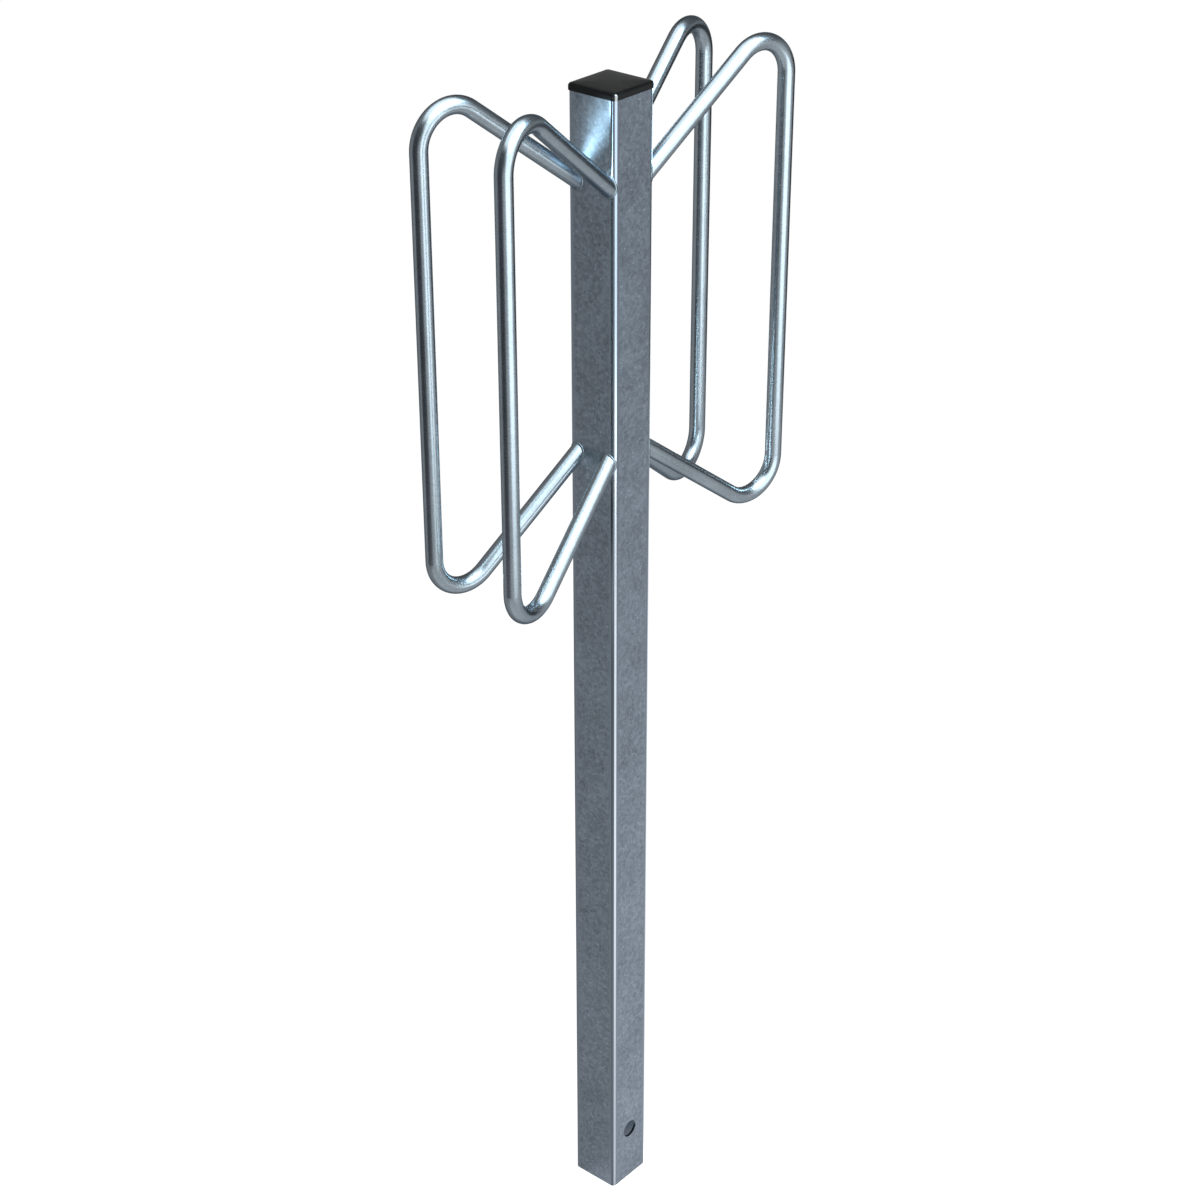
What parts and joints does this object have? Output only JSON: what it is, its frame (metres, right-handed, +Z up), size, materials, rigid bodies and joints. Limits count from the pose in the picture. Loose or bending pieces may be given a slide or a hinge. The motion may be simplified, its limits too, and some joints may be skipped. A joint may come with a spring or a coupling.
{
  "type": "hoop bike rack",
  "caption": "Square galvanised post for setting in the ground, capped at the top, with splayed tube hoops on two opposite faces that take a bicycle's wheel between them.",
  "frame": {"origin": "centre of the post's lower end", "axes": "+Z up the post; +Y towards the rear pair of hoops, and the front pair reaches towards -Y; +X to the right, along the anchor hole"},
  "size_m": [0.1242, 0.4424, 1.3751],
  "materials": {
    "galvanised_post": "hot-dip galvanised, satin, with faint spangle",
    "galvanised_tube": "hot-dip galvanised, satin and a little brighter",
    "galvanised_weld": "hot-dip galvanised over a ground weld bead",
    "black_plastic": "moulded, fine matte texture, soft gloss on the edges"
  },
  "bodies": {
    "root": {"post": "galvanised_post", "post_cap": "black_plastic", "hoop_front_left": "galvanised_tube", "hoop_front_right": "galvanised_tube", "hoop_rear_left": "galvanised_tube", "hoop_rear_right": "galvanised_tube", "weld_front_left_upper": "galvanised_weld", "weld_front_left_lower": "galvanised_weld", "weld_front_right_upper": "galvanised_weld", "weld_front_right_lower": "galvanised_weld", "weld_rear_left_upper": "galvanised_weld", "weld_rear_left_lower": "galvanised_weld", "weld_rear_right_upper": "galvanised_weld", "weld_rear_right_lower": "galvanised_weld"}
  },
  "joints": []
}
